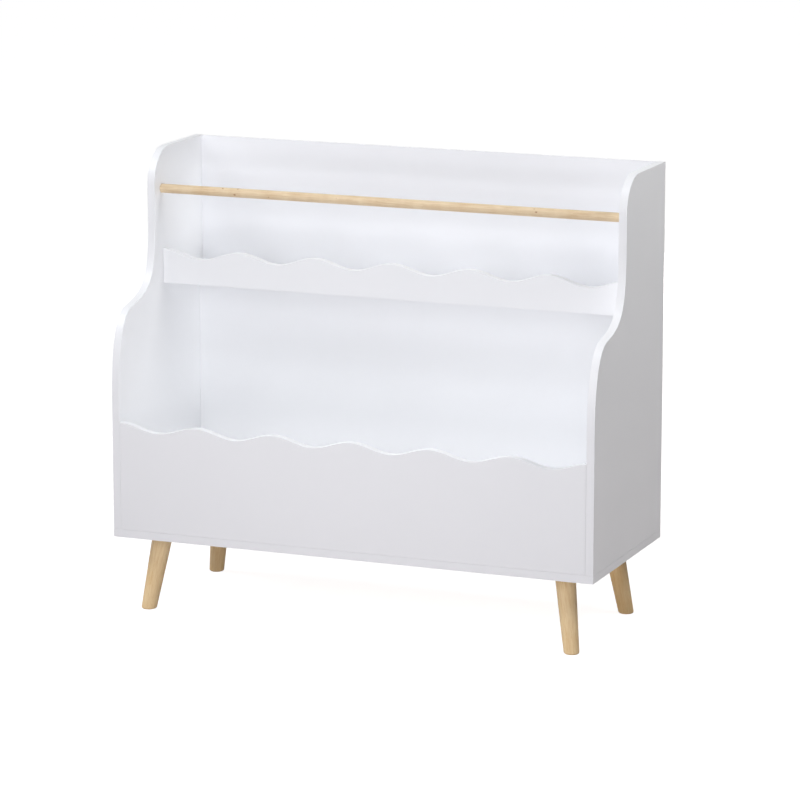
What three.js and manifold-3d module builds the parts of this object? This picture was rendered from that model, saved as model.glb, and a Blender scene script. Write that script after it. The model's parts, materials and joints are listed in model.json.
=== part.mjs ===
import * as THREE from "three";
import { mergeVertices } from "three/addons/utils/BufferGeometryUtils.js";
import Module from "manifold-3d";

// A toy storage bookcase for a child's room: a toy bin with a wavy front below, a narrow book
// shelf behind a wavy lip above it, a round rail across the books, and four splayed wooden legs.
// Millimetres, +Z up, and the front faces -Y. The origin is on the floor under the case's middle.

// The case
const CASE_WIDTH = 1000;
const CASE_DEPTH = 400;
const CASE_HEIGHT = 747; // from the base's underside to the top of the sides
const BOARD = 16; // every board of the case is this thick
const EDGE_ROUND = 0.5; // rounding along the boards' edges

// The sides' front edge, from the base's underside and from the case's front
const SHOULDER_START = 285; // the lower straight edge ends here
const WAIST_HEIGHT = 453; // the edge turns from shoulder to cove here
const WAIST_SETBACK = 66;
const WAIST_SLOPE_DEG = 11;
const UPPER_EDGE_START = 605; // the upper straight edge begins here
const UPPER_SETBACK = 172;
const TOP_CORNER_RADIUS = 68;
const SHOULDER_RISE_PULL = 0.655; // how far each curve holds its first or last direction
const SHOULDER_RUN_PULL = 0.6;
const COVE_RUN_PULL = 0.77;
const COVE_RISE_PULL = 0.763;

// The toy bin's front
const FRONT_HEIGHT = 223; // mean height of its wavy top over the base's underside
const WAVE_PERIOD = 163;
const FRONT_WAVE = 8.2; // the wave's rise above its mean

// The book shelf and its lip
const SHELF_HEIGHT = 475; // shelf's underside over the base's underside
const LIP_INSET = 35; // the lip's face behind the sides' upper front edge
const LIP_HEIGHT = 60; // mean height of its wavy top over its lower edge
const LIP_WAVE = 8.9;

// The rail across the books
const RAIL_DIAMETER = 18;
const RAIL_INSET = 33; // its axis behind the sides' upper front edge
const RAIL_DROP = 81.5; // its axis below the top of the sides
const RAIL_SOCKET_DEPTH = 8; // the blind hole in each side
const RAIL_END_PLAY = 0.5;

// The back sheet, in a groove of each side
const BACK_SHEET = 3;
const BACK_SHEET_EDGE = 0.4; // rounding along its edges
const GROOVE_DEPTH = 8;
const BACK_RIM = 4; // board left behind the groove

// The legs
const LEG_HEIGHT = 150; // from the floor to the base's underside
const LEG_INSET_X = 78; // a leg's axis at the base's underside, from the case's side
const LEG_INSET_Y = 62; // and from its front or rear
const LEG_TILT_DEG = 12; // outwards, along the diagonal
const LEG_TOP_DIAMETER = 40;
const LEG_FOOT_DIAMETER = 30;
const LEG_TOP_EDGE = 1.5;
const FOOT_ROUND = 4;

// A leg's steel mounting plate, its angled boss and its fasteners
const PLATE_SIZE = 62;
const PLATE_THICKNESS = 2;
const PLATE_CORNER = 7;
const PLATE_SCREW_SPACING = 46;
const BOSS_DIAMETER = 24;
const PLATE_SCREW_DIAMETER = 3.5;
const PLATE_SCREW_LENGTH = 12;
const PLATE_SCREW_HEAD_DIAMETER = 7.5;
const PLATE_SCREW_HEAD_HEIGHT = 2.4;
const PLATE_SCREW_HEAD_FLAT = 3.8; // the flat middle of its domed head
const PLATE_SCREW_HEAD_EDGE = 0.8; // the height of its rim
const HANGER_DIAMETER = 8;
const HANGER_IN_LEG = 30;
const HANGER_PROUD = 14; // the bolt's length beyond the leg's top
const HANGER_POINT = 1.5;

// Connecting screws, up through the base into the boards that stand on it
const SCREW_DIAMETER = 6.4;
const SCREW_LENGTH = 50;
const SCREW_HEAD_DIAMETER = 10;
const SCREW_HEAD_HEIGHT = 4;
const SCREW_SOCKET_WIDTH = 4;
const SCREW_SOCKET_DEPTH = 3;
const SIDE_SCREW_INSET = 80; // from the case's front or rear
const LONG_BOARD_SCREW_INSET = 250; // from the case's side

// Cam locks in the shelf, and the bolts in the sides that they grip
const CAM_DIAMETER = 15;
const CAM_HEIGHT = 12.3;
const CAM_REACH = 34; // its centre from the side's inner face
const CAM_INSET = 38; // from the shelf's front or rear edge
const CAM_SLOT_WIDTH = 2.2;
const CAM_SLOT_LENGTH = 9;
const CAM_SLOT_DEPTH = 2.5;
const CAM_BOLT_DIAMETER = 6;
const CAM_BOLT_HEAD_DIAMETER = 6.8;
const CAM_BOLT_NECK_DIAMETER = 4.4;
const CAM_BOLT_HEAD = 2.5; // the length of its head
const CAM_BOLT_NECK = 5; // and of the neck behind it
const CAM_BOLT_IN_SIDE = 10;

// Wooden dowels, in the face of one board and the edge of another
const DOWEL_DIAMETER = 8;
const DOWEL_LENGTH = 30;
const DOWEL_IN_FACE = 10;
const DOWEL_CHAMFER = 1;
const LIP_DOWEL_INSET = 250; // from the case's side
const FRONT_DOWEL_HEIGHT = 160; // over the base's underside
const BACK_BOARD_DOWEL_HEIGHT = 400;

// Clearances
const JOINT_GAP = 0.2; // between boards that meet
const FIT = 0.3; // round a pin, bolt, screw or sheet in its hole or groove
const SEAT_GAP = 0.3; // between a leg's top and its boss

// How finely round shapes are cut
const WAVE_STEPS = 16; // per wave
const EDGE_STEPS = 3; // along a board's edge
const CURVE_STEPS = 16; // per curve of a side's outline
const RIM_STEPS = 4; // round a foot's rim
const CORNER_STEPS = 4; // round a mounting plate's corner
const ROUND_SIDES = 32;
const SMALL_SIDES = 12;
const TINY_SIDES = 8;
const HEX_SIDES = 6;
const OVERCUT = 1; // how far a cutter passes the face that it opens

// Places that several pieces share. The case frame has its origin at the middle of the base's
// underside, and stands LEG_HEIGHT above the floor.
const innerX = CASE_WIDTH / 2 - BOARD;
const frontY = -CASE_DEPTH / 2;
const rearY = CASE_DEPTH / 2;
const standZ = BOARD + JOINT_GAP;
const upperEdgeY = frontY + UPPER_SETBACK;
const grooveRearY = rearY - BACK_RIM;
const sheetRearY = grooveRearY - FIT;
const sheetFrontY = sheetRearY - BACK_SHEET;
const backBoardRearY = sheetFrontY - JOINT_GAP;
const backBoardY = backBoardRearY - BOARD / 2;
const frontBoardY = frontY + BOARD / 2;
const lipFrontY = upperEdgeY + LIP_INSET;
const lipRearY = lipFrontY + BOARD;
const shelfFrontY = lipRearY + JOINT_GAP;
const shelfRearY = sheetFrontY - JOINT_GAP;
const shelfMiddleZ = SHELF_HEIGHT + BOARD / 2;
const railY = upperEdgeY + RAIL_INSET;
const railZ = CASE_HEIGHT - RAIL_DROP;
const legTilt = THREE.MathUtils.degToRad(LEG_TILT_DEG);
const legTopRadius = LEG_TOP_DIAMETER / 2;
const legFootRadius = LEG_FOOT_DIAMETER / 2;
// The leg's square top is tilted, and its higher rim stays clear of the plate.
const seatDrop = PLATE_THICKNESS + JOINT_GAP + legTopRadius * Math.sin(legTilt) + SEAT_GAP;

const materials = {
  lacquer: new THREE.MeshStandardMaterial({ color: 0xefeff2, roughness: 0.38, metalness: 0 }),
  backSheet: new THREE.MeshStandardMaterial({ color: 0xededf0, roughness: 0.45, metalness: 0 }),
  railWood: new THREE.MeshStandardMaterial({ color: 0xe2c9a8, roughness: 0.55, metalness: 0 }),
  legWood: new THREE.MeshStandardMaterial({ color: 0xd2b48a, roughness: 0.5, metalness: 0 }),
  dowelWood: new THREE.MeshStandardMaterial({ color: 0xd9bd93, roughness: 0.7, metalness: 0 }),
  steel: new THREE.MeshStandardMaterial({ color: 0xb9bcc0, roughness: 0.35, metalness: 1 }),
};

const wasm = await Module();
wasm.setup();

// A closed geometry as a solid that can be cut and joined.
function solidOf(geometry) {
  const bare = geometry.clone();
  bare.deleteAttribute("normal");
  bare.deleteAttribute("uv");
  const merged = mergeVertices(bare);
  const corners = merged.index.array;
  const kept = [];
  for (let i = 0; i < corners.length; i += 3) {
    const [a, b, c] = [corners[i], corners[i + 1], corners[i + 2]];
    if (a !== b && b !== c && c !== a) {
      kept.push(a, b, c);
    }
  }
  const vertProperties = merged.attributes.position.array;
  const mesh = new wasm.Mesh({ numProp: 3, vertProperties, triVerts: new Uint32Array(kept) });
  return new wasm.Manifold(mesh);
}

// A solid as a geometry again.
function geometryOf(solid) {
  const mesh = solid.getMesh();
  const geometry = new THREE.BufferGeometry();
  geometry.setAttribute("position", new THREE.BufferAttribute(mesh.vertProperties, 3));
  geometry.setIndex(new THREE.BufferAttribute(mesh.triVerts, 1));
  return geometry;
}

// A geometry drawn round its own origin, less the cutters, which are drawn where they cut in the
// frame that holds place.
function cutFrom(geometry, place, cutters) {
  const uncut = solidOf(geometry);
  const moved = cutters.map((c) => solidOf(c.clone().translate(-place.x, -place.y, -place.z)));
  return geometryOf(moved.reduce((body, cutter) => body.subtract(cutter), uncut));
}

function piece(parent, name, geometry, material, place) {
  const mesh = new THREE.Mesh(geometry, material.clone());
  mesh.material.flatShading = true;
  mesh.name = name;
  mesh.position.copy(place);
  parent.add(mesh);
  return mesh;
}

function at(x, y, z) {
  return new THREE.Vector3(x, y, z);
}

// A round bar that starts at one point and runs along a unit vector.
function bar(start, along, length, radius, sides = SMALL_SIDES) {
  const geometry = new THREE.CylinderGeometry(radius, radius, length, sides);
  geometry.translate(0, length / 2, 0);
  geometry.applyQuaternion(new THREE.Quaternion().setFromUnitVectors(at(0, 1, 0), along));
  return geometry.translate(start.x, start.y, start.z);
}

// The cutter for a hole that takes a bar of this diameter with clearance all round. It starts a
// little outside the face, at start, that it opens.
function bore(start, along, depth, diameter, sides = SMALL_SIDES) {
  const radius = (diameter / 2 + FIT) / Math.cos(Math.PI / sides);
  const outside = start.clone().addScaledVector(along, -OVERCUT);
  return bar(outside, along, depth + OVERCUT, radius, sides);
}

// A turned piece: its outline is given as [radius, height] pairs from the bottom of its axis to
// the top, and the axis is stood along +Z.
function turned(outline, sides = SMALL_SIDES) {
  const points = outline.map(([radius, height]) => new THREE.Vector2(radius, height));
  return new THREE.LatheGeometry(points, sides).rotateX(Math.PI / 2);
}

function block(low, high) {
  const size = high.clone().sub(low);
  const middle = low.clone().add(high).divideScalar(2);
  return new THREE.BoxGeometry(size.x, size.y, size.z).translate(middle.x, middle.y, middle.z);
}

// A board cut from an outline, with rounded edges. Its thickness runs up from local z = 0.
function board(outline, thickness, round = EDGE_ROUND) {
  const geometry = new THREE.ExtrudeGeometry(outline, {
    depth: thickness - 2 * round,
    bevelThickness: round,
    bevelSize: round,
    bevelOffset: -round,
    bevelSegments: EDGE_STEPS,
    curveSegments: CURVE_STEPS,
  });
  return geometry.translate(0, 0, round);
}

function rectangle(x0, y0, x1, y1) {
  const outline = new THREE.Shape();
  outline.moveTo(x0, y0);
  outline.lineTo(x1, y0);
  outline.lineTo(x1, y1);
  outline.lineTo(x0, y1);
  outline.closePath();
  return outline;
}

// A long board stood on edge: its outline's x and y become X and Z, its front face lies at local
// y = 0, and its thickness runs back from there.
function standing(outline, thickness, round) {
  return board(outline, thickness, round).rotateX(Math.PI / 2).translate(0, thickness, 0);
}

// The outline of a long board whose top edge is a wave. A crest stands at its left end.
function wavyOutline(width, meanHeight, rise) {
  const outline = new THREE.Shape();
  outline.moveTo(-width / 2, 0);
  outline.lineTo(width / 2, 0);
  const steps = Math.ceil((width / WAVE_PERIOD) * WAVE_STEPS);
  for (let i = steps; i >= 0; i -= 1) {
    const run = (width * i) / steps;
    outline.lineTo(run - width / 2, meanHeight + rise * Math.cos((2 * Math.PI * run) / WAVE_PERIOD));
  }
  outline.closePath();
  return outline;
}

// A side's outline in Y and Z, from its foot up: the straight front edge, the shoulder, the cove,
// the straight upper edge and the rounded top corner.
function sideOutline() {
  const foot = standZ;
  const waistY = frontY + WAIST_SETBACK;
  const slope = THREE.MathUtils.degToRad(WAIST_SLOPE_DEG);
  const shoulderPull = WAIST_SETBACK * SHOULDER_RUN_PULL;
  const covePull = (UPPER_SETBACK - WAIST_SETBACK) * COVE_RUN_PULL;
  const outline = new THREE.Shape();
  outline.moveTo(rearY, foot);
  outline.lineTo(rearY, CASE_HEIGHT);
  outline.lineTo(upperEdgeY + TOP_CORNER_RADIUS, CASE_HEIGHT);
  outline.absarc(
    upperEdgeY + TOP_CORNER_RADIUS,
    CASE_HEIGHT - TOP_CORNER_RADIUS,
    TOP_CORNER_RADIUS,
    Math.PI / 2,
    Math.PI,
    false,
  );
  outline.lineTo(upperEdgeY, UPPER_EDGE_START);
  outline.bezierCurveTo(
    upperEdgeY,
    UPPER_EDGE_START - (UPPER_EDGE_START - WAIST_HEIGHT) * COVE_RISE_PULL,
    waistY + covePull * Math.cos(slope),
    WAIST_HEIGHT + covePull * Math.sin(slope),
    waistY,
    WAIST_HEIGHT,
  );
  outline.bezierCurveTo(
    waistY - shoulderPull * Math.cos(slope),
    WAIST_HEIGHT - shoulderPull * Math.sin(slope),
    frontY,
    SHOULDER_START + (WAIST_HEIGHT - SHOULDER_START) * SHOULDER_RISE_PULL,
    frontY,
    SHOULDER_START,
  );
  outline.lineTo(frontY, foot);
  outline.closePath();
  return outline;
}

const bookcase = new THREE.Group();
const frame = new THREE.Group();
frame.position.z = LEG_HEIGHT;
bookcase.add(frame);

const UP = at(0, 0, 1);
const REARWARD = at(0, 1, 0);
const sides = [
  { name: "left", outward: -1 },
  { name: "right", outward: 1 },
];
const ends = [
  { name: "front", outward: -1 },
  { name: "rear", outward: 1 },
];

// Connecting screws: where each one enters the base, and the board that it goes up into
function connectingScrews() {
  const screws = [];
  for (const side of sides) {
    const x = side.outward * (CASE_WIDTH / 2 - BOARD / 2);
    for (const end of ends) {
      const y = end.outward * (CASE_DEPTH / 2 - SIDE_SCREW_INSET);
      screws.push({ name: `${side.name}_side_${end.name}_base_screw`, foot: at(x, y, 0) });
    }
    const inset = side.outward * (CASE_WIDTH / 2 - LONG_BOARD_SCREW_INSET);
    screws.push({ name: `front_panel_${side.name}_base_screw`, foot: at(inset, frontBoardY, 0) });
    screws.push({ name: `back_board_${side.name}_base_screw`, foot: at(inset, backBoardY, 0) });
  }
  return screws;
}

// Cam locks: the place of each cam's centre under the shelf, and the bolt that it grips
function camLocks() {
  const locks = [];
  for (const side of sides) {
    for (const end of ends) {
      const y = end.name === "front" ? shelfFrontY + CAM_INSET : shelfRearY - CAM_INSET;
      const outward = at(side.outward, 0, 0);
      const face = at(side.outward * innerX, y, shelfMiddleZ);
      const centre = face.clone().addScaledVector(outward, -CAM_REACH);
      locks.push({ name: `${side.name}_${end.name}`, outward, face, centre });
    }
  }
  return locks;
}

// Dowels: where each one crosses the joint, and the way into the board that it enters by the face
function dowels() {
  const set = [];
  for (const side of sides) {
    const out = at(side.outward, 0, 0);
    const x = side.outward * innerX;
    const lipX = side.outward * (CASE_WIDTH / 2 - LIP_DOWEL_INSET);
    const lipJoint = at(lipX, lipRearY, shelfMiddleZ);
    set.push({ name: `lip_${side.name}_dowel`, joint: lipJoint, intoFace: at(0, -1, 0) });
    const frontJoint = at(x, frontBoardY, FRONT_DOWEL_HEIGHT);
    set.push({ name: `front_panel_${side.name}_dowel`, joint: frontJoint, intoFace: out });
    const backJoint = at(x, backBoardY, BACK_BOARD_DOWEL_HEIGHT);
    set.push({ name: `back_board_${side.name}_dowel`, joint: backJoint, intoFace: out });
  }
  return set;
}

// Legs: the point where each axis meets the base's underside, and the turn that tilts it
function legSets() {
  const sets = [];
  for (const end of ends) {
    for (const side of sides) {
      const x = side.outward * (CASE_WIDTH / 2 - LEG_INSET_X);
      const y = end.outward * (CASE_DEPTH / 2 - LEG_INSET_Y);
      const lean = Math.sin(legTilt) * Math.SQRT1_2;
      const down = at(side.outward * lean, end.outward * lean, -Math.cos(legTilt));
      const turn = new THREE.Quaternion().setFromUnitVectors(at(0, 0, -1), down);
      const seat = down.clone().multiplyScalar(seatDrop / Math.cos(legTilt));
      sets.push({ name: `${end.name}_${side.name}`, top: at(x, y, 0), down, turn, seat });
    }
  }
  return sets;
}

function plateScrewPlaces() {
  const reach = PLATE_SCREW_SPACING / 2;
  return [at(-reach, -reach, 0), at(reach, -reach, 0), at(reach, reach, 0), at(-reach, reach, 0)];
}

const screws = connectingScrews();
const locks = camLocks();
const pins = dowels();
const legs = legSets();

// How far the bolt's tip stands over the base's underside, and the pocket that clears it
const hangerTipZ = (HANGER_PROUD - seatDrop / Math.cos(legTilt)) * Math.cos(legTilt);
const hangerPocketDepth = hangerTipZ + JOINT_GAP + (HANGER_DIAMETER / 2) * Math.sin(legTilt) + FIT;
const hangerPocketDiameter = HANGER_DIAMETER + 2 * hangerPocketDepth * Math.tan(legTilt);

function screwPilots() {
  return screws.map((s) => bore(s.foot, UP, SCREW_LENGTH + FIT, SCREW_DIAMETER));
}

function dowelHoles() {
  return pins.map((pin) => {
    const start = pin.joint.clone().addScaledVector(pin.intoFace, DOWEL_IN_FACE + FIT);
    const inward = pin.intoFace.clone().negate();
    const radius = (DOWEL_DIAMETER / 2 + FIT) / Math.cos(Math.PI / SMALL_SIDES);
    return bar(start, inward, DOWEL_LENGTH + 2 * FIT, radius);
  });
}

function addBase() {
  const place = at(0, 0, 0);
  const geometry = board(rectangle(-CASE_WIDTH / 2, frontY, CASE_WIDTH / 2, rearY), BOARD);
  const headSinks = screws.map((s) => bore(s.foot, UP, SCREW_HEAD_HEIGHT + FIT, SCREW_HEAD_DIAMETER));
  const legCuts = legs.flatMap((leg) => [
    bore(leg.top, UP, hangerPocketDepth, hangerPocketDiameter),
    ...plateScrewPlaces().map((p) =>
      bore(p.add(leg.top), UP, PLATE_SCREW_LENGTH - PLATE_THICKNESS, PLATE_SCREW_DIAMETER, TINY_SIDES),
    ),
  ]);
  const cuts = [...screwPilots(), ...headSinks, ...legCuts];
  piece(frame, "base_panel", cutFrom(geometry, place, cuts), materials.lacquer, place);
}

// The sides stand on the base. Each has a groove for the back sheet, the rail's blind hole, and
// the holes of its cam bolts, dowels and screws.
function addSides() {
  const cyclic = new THREE.Matrix4().makeBasis(at(0, 1, 0), at(0, 0, 1), at(1, 0, 0));
  for (const side of sides) {
    const place = at(side.outward > 0 ? innerX : -CASE_WIDTH / 2, 0, 0);
    const geometry = board(sideOutline(), BOARD).applyMatrix4(cyclic);
    const outward = at(side.outward, 0, 0);
    const grooveFrontY = sheetFrontY - FIT;
    const grooveX = [side.outward * (innerX - OVERCUT), side.outward * (innerX + GROOVE_DEPTH)];
    const groove = block(
      at(Math.min(...grooveX), grooveFrontY, standZ - OVERCUT),
      at(Math.max(...grooveX), grooveRearY, CASE_HEIGHT + OVERCUT),
    );
    const railFace = at(side.outward * innerX, railY, railZ);
    const cuts = [
      groove,
      bore(railFace, outward, RAIL_SOCKET_DEPTH, RAIL_DIAMETER, ROUND_SIDES),
      ...locks
        .filter((lock) => lock.outward.x === side.outward)
        .map((lock) => bore(lock.face, outward, CAM_BOLT_IN_SIDE + FIT, CAM_BOLT_DIAMETER)),
      ...dowelHoles(),
      ...screwPilots(),
    ];
    const solid = cutFrom(geometry, place, cuts);
    piece(frame, `${side.name}_side_panel`, solid, materials.lacquer, place);
  }
}

// The toy bin's front, flush with the sides' front edges, and its back board
function addBinBoards() {
  const width = 2 * (innerX - JOINT_GAP);
  const holes = [...dowelHoles(), ...screwPilots()];
  const front = standing(wavyOutline(width, FRONT_HEIGHT - standZ, FRONT_WAVE), BOARD);
  const frontPlace = at(0, frontY, standZ);
  const frontSolid = cutFrom(front, frontPlace, holes);
  piece(frame, "lower_front_panel", frontSolid, materials.lacquer, frontPlace);

  const height = SHELF_HEIGHT - JOINT_GAP - standZ;
  const back = standing(rectangle(-width / 2, 0, width / 2, height), BOARD);
  const backPlace = at(0, backBoardRearY - BOARD, standZ);
  const backSolid = cutFrom(back, backPlace, holes);
  piece(frame, "lower_back_board", backSolid, materials.lacquer, backPlace);
}

function addBackSheet() {
  const width = 2 * (innerX + GROOVE_DEPTH - FIT);
  const outline = rectangle(-width / 2, 0, width / 2, CASE_HEIGHT - standZ);
  const sheet = standing(outline, BACK_SHEET, BACK_SHEET_EDGE);
  piece(frame, "back_panel", sheet, materials.backSheet, at(0, sheetFrontY, standZ));
}

// The shelf stands on the bin's back board and is drawn to the sides by its cam locks
function addShelf() {
  const halfWidth = innerX - JOINT_GAP;
  const depth = shelfRearY - shelfFrontY;
  const geometry = board(rectangle(-halfWidth, 0, halfWidth, depth), BOARD);
  const place = at(0, shelfFrontY, SHELF_HEIGHT);
  const camPockets = locks.map((lock) =>
    bore(at(lock.centre.x, lock.centre.y, SHELF_HEIGHT), UP, CAM_HEIGHT + FIT, CAM_DIAMETER, ROUND_SIDES),
  );
  const boltHoles = locks.map((lock) =>
    bore(lock.face, lock.outward.clone().negate(), CAM_REACH, CAM_BOLT_HEAD_DIAMETER),
  );
  const solid = cutFrom(geometry, place, [...camPockets, ...boltHoles, ...dowelHoles()]);
  piece(frame, "upper_shelf", solid, materials.lacquer, place);
}

function addLip() {
  const outline = wavyOutline(2 * (innerX - JOINT_GAP), LIP_HEIGHT, LIP_WAVE);
  const place = at(0, lipFrontY, SHELF_HEIGHT);
  const solid = cutFrom(standing(outline, BOARD), place, dowelHoles());
  piece(frame, "shelf_lip", solid, materials.lacquer, place);
}

// The rail lies loose in its two blind holes, so it can turn
function addRail() {
  const length = 2 * (innerX + RAIL_SOCKET_DEPTH - RAIL_END_PLAY);
  const rail = bar(at(-length / 2, 0, 0), at(1, 0, 0), length, RAIL_DIAMETER / 2, ROUND_SIDES);
  piece(frame, "book_rail", rail, materials.railWood, at(0, railY, railZ));
}

function addConnectingScrews() {
  const head = SCREW_HEAD_DIAMETER / 2;
  const shank = SCREW_DIAMETER / 2;
  const outline = [
    [0, 0],
    [head, 0],
    [head, SCREW_HEAD_HEIGHT - (head - shank)],
    [shank, SCREW_HEAD_HEIGHT],
    [shank, SCREW_LENGTH - shank],
    [0, SCREW_LENGTH],
  ];
  const corner = SCREW_SOCKET_WIDTH / 2 / Math.cos(Math.PI / HEX_SIDES);
  const socket = bar(at(0, 0, -OVERCUT), UP, SCREW_SOCKET_DEPTH + OVERCUT, corner, HEX_SIDES);
  for (const screw of screws) {
    const solid = cutFrom(turned(outline), at(0, 0, 0), [socket]);
    piece(frame, screw.name, solid, materials.steel, screw.foot);
  }
}

// A cam is a drum with a hole for the bolt's head and a cross slot in its lower face
function addCamLocks() {
  const radius = CAM_DIAMETER / 2;
  for (const lock of locks) {
    const drum = bar(at(0, 0, 0), UP, CAM_HEIGHT, radius, ROUND_SIDES);
    const middle = BOARD / 2;
    const mouth = lock.outward.clone().multiplyScalar(radius).setZ(middle);
    const inward = lock.outward.clone().negate();
    const throat = bore(mouth, inward, radius + CAM_BOLT_HEAD, CAM_BOLT_HEAD_DIAMETER);
    const reach = CAM_SLOT_LENGTH / 2;
    const half = CAM_SLOT_WIDTH / 2;
    const slots = [
      block(at(-reach, -half, -OVERCUT), at(reach, half, CAM_SLOT_DEPTH)),
      block(at(-half, -reach, -OVERCUT), at(half, reach, CAM_SLOT_DEPTH)),
    ];
    const solid = cutFrom(drum, at(0, 0, 0), [throat, ...slots]);
    const place = at(lock.centre.x, lock.centre.y, SHELF_HEIGHT);
    piece(frame, `${lock.name}_cam_lock`, solid, materials.steel, place);
  }
}

function addCamBolts() {
  const shank = CAM_BOLT_DIAMETER / 2;
  const neck = CAM_BOLT_NECK_DIAMETER / 2;
  const head = CAM_BOLT_HEAD_DIAMETER / 2;
  const headStart = CAM_REACH;
  const neckStart = headStart - CAM_BOLT_NECK;
  const outline = [
    [0, -CAM_BOLT_IN_SIDE],
    [shank, -CAM_BOLT_IN_SIDE],
    [shank, neckStart],
    [neck, neckStart + (shank - neck)],
    [neck, headStart - CAM_BOLT_HEAD / 2],
    [head, headStart],
    [head, headStart + CAM_BOLT_HEAD / 2],
    [0, headStart + CAM_BOLT_HEAD / 2],
  ];
  for (const lock of locks) {
    const bolt = piece(frame, `${lock.name}_cam_bolt`, turned(outline), materials.steel, lock.face);
    bolt.quaternion.setFromUnitVectors(UP, lock.outward.clone().negate());
  }
}

function addDowels() {
  const radius = DOWEL_DIAMETER / 2;
  const outline = [
    [0, 0],
    [radius - DOWEL_CHAMFER, 0],
    [radius, DOWEL_CHAMFER],
    [radius, DOWEL_LENGTH - DOWEL_CHAMFER],
    [radius - DOWEL_CHAMFER, DOWEL_LENGTH],
    [0, DOWEL_LENGTH],
  ];
  for (const pin of pins) {
    const start = pin.joint.clone().addScaledVector(pin.intoFace, DOWEL_IN_FACE);
    const dowel = piece(frame, pin.name, turned(outline), materials.dowelWood, start);
    dowel.quaternion.setFromUnitVectors(UP, pin.intoFace.clone().negate());
  }
}

// A mounting plate under the base, with a boss whose lower end is square to the leg
function plateSolid(leg) {
  const half = PLATE_SIZE / 2;
  const outline = new THREE.Shape();
  outline.moveTo(-half + PLATE_CORNER, -half);
  outline.lineTo(half - PLATE_CORNER, -half);
  outline.absarc(half - PLATE_CORNER, -half + PLATE_CORNER, PLATE_CORNER, -Math.PI / 2, 0, false);
  outline.lineTo(half, half - PLATE_CORNER);
  outline.absarc(half - PLATE_CORNER, half - PLATE_CORNER, PLATE_CORNER, 0, Math.PI / 2, false);
  outline.lineTo(-half + PLATE_CORNER, half);
  outline.absarc(-half + PLATE_CORNER, half - PLATE_CORNER, PLATE_CORNER, Math.PI / 2, Math.PI, false);
  outline.lineTo(-half, -half + PLATE_CORNER);
  outline.absarc(-half + PLATE_CORNER, -half + PLATE_CORNER, PLATE_CORNER, Math.PI, 1.5 * Math.PI, false);
  const flat = new THREE.ExtrudeGeometry(outline, {
    depth: PLATE_THICKNESS,
    bevelEnabled: false,
    curveSegments: CORNER_STEPS,
  });
  flat.translate(0, 0, -JOINT_GAP - PLATE_THICKNESS);
  // The boss is drawn longer than it is, and what stands over the plate is cut away.
  const upAxis = leg.down.clone().negate();
  const bossReach = 2 * seatDrop;
  const boss = solidOf(bar(leg.seat, upAxis, bossReach, BOSS_DIAMETER / 2, ROUND_SIDES));
  const overPlate = block(at(-half, -half, -JOINT_GAP), at(half, half, bossReach));
  const joined = solidOf(flat).add(boss.subtract(solidOf(overPlate)));
  const thread = solidOf(bore(leg.seat, upAxis, bossReach, HANGER_DIAMETER));
  const under = at(0, 0, -JOINT_GAP - PLATE_THICKNESS);
  const screwHoles = plateScrewPlaces().map((p) =>
    solidOf(bore(p.add(under), UP, PLATE_THICKNESS + OVERCUT, PLATE_SCREW_DIAMETER, TINY_SIDES)),
  );
  return geometryOf([thread, ...screwHoles].reduce((body, hole) => body.subtract(hole), joined));
}

// A turned, tapered leg: square to its axis at the top, cut level at the floor, and rounded there
function legSolid(leg) {
  const length = (LEG_HEIGHT - seatDrop) / Math.cos(legTilt);
  const taper = (legTopRadius - legFootRadius) / length;
  const past = legTopRadius;
  const outline = [
    [0, -length - past],
    [legFootRadius - taper * past, -length - past],
    [legTopRadius, -SEAT_GAP - LEG_TOP_EDGE],
    [legTopRadius - LEG_TOP_EDGE, -SEAT_GAP],
    [0, -SEAT_GAP],
  ];
  const body = turned(outline, ROUND_SIDES).applyQuaternion(leg.turn);

  // A leaning envelope that stands on the floor trims the foot level and rounds its rim.
  const floor = -(LEG_HEIGHT - seatDrop);
  const rim = (legFootRadius + taper * FOOT_ROUND) / Math.cos(legTilt);
  const trim = [[0, floor]];
  for (let i = 0; i <= RIM_STEPS; i += 1) {
    const angle = (Math.PI / 2) * (i / RIM_STEPS);
    trim.push([
      rim - FOOT_ROUND + FOOT_ROUND * Math.sin(angle),
      floor + FOOT_ROUND - FOOT_ROUND * Math.cos(angle),
    ]);
  }
  const clearOfTop = legTopRadius;
  trim.push([LEG_TOP_DIAMETER, clearOfTop]);
  trim.push([0, clearOfTop]);
  const lean = new THREE.Matrix4().makeShear(0, 0, 0, 0, leg.down.x / leg.down.z, leg.down.y / leg.down.z);
  const envelope = turned(trim, ROUND_SIDES).applyMatrix4(lean);
  const hole = bore(at(0, 0, -SEAT_GAP), at(0, 0, -1), HANGER_IN_LEG + FIT, HANGER_DIAMETER);
  const trimmed = solidOf(body).intersect(solidOf(envelope));
  return geometryOf(trimmed.subtract(solidOf(hole.applyQuaternion(leg.turn))));
}

function hangerBolt() {
  const radius = HANGER_DIAMETER / 2;
  return turned([
    [0, -HANGER_IN_LEG - SEAT_GAP],
    [radius, -HANGER_IN_LEG - SEAT_GAP + radius],
    [radius, HANGER_PROUD - SEAT_GAP - HANGER_POINT],
    [radius - HANGER_POINT, HANGER_PROUD - SEAT_GAP],
    [0, HANGER_PROUD - SEAT_GAP],
  ]);
}

function plateScrew() {
  const head = PLATE_SCREW_HEAD_DIAMETER / 2;
  const shank = PLATE_SCREW_DIAMETER / 2;
  const outline = [
    [0, -PLATE_SCREW_HEAD_HEIGHT],
    [PLATE_SCREW_HEAD_FLAT / 2, -PLATE_SCREW_HEAD_HEIGHT],
    [head, -PLATE_SCREW_HEAD_EDGE],
    [head, 0],
    [shank, 0],
    [shank, PLATE_SCREW_LENGTH - 2 * shank],
    [0, PLATE_SCREW_LENGTH],
  ];
  return turned(outline, TINY_SIDES);
}

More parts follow.
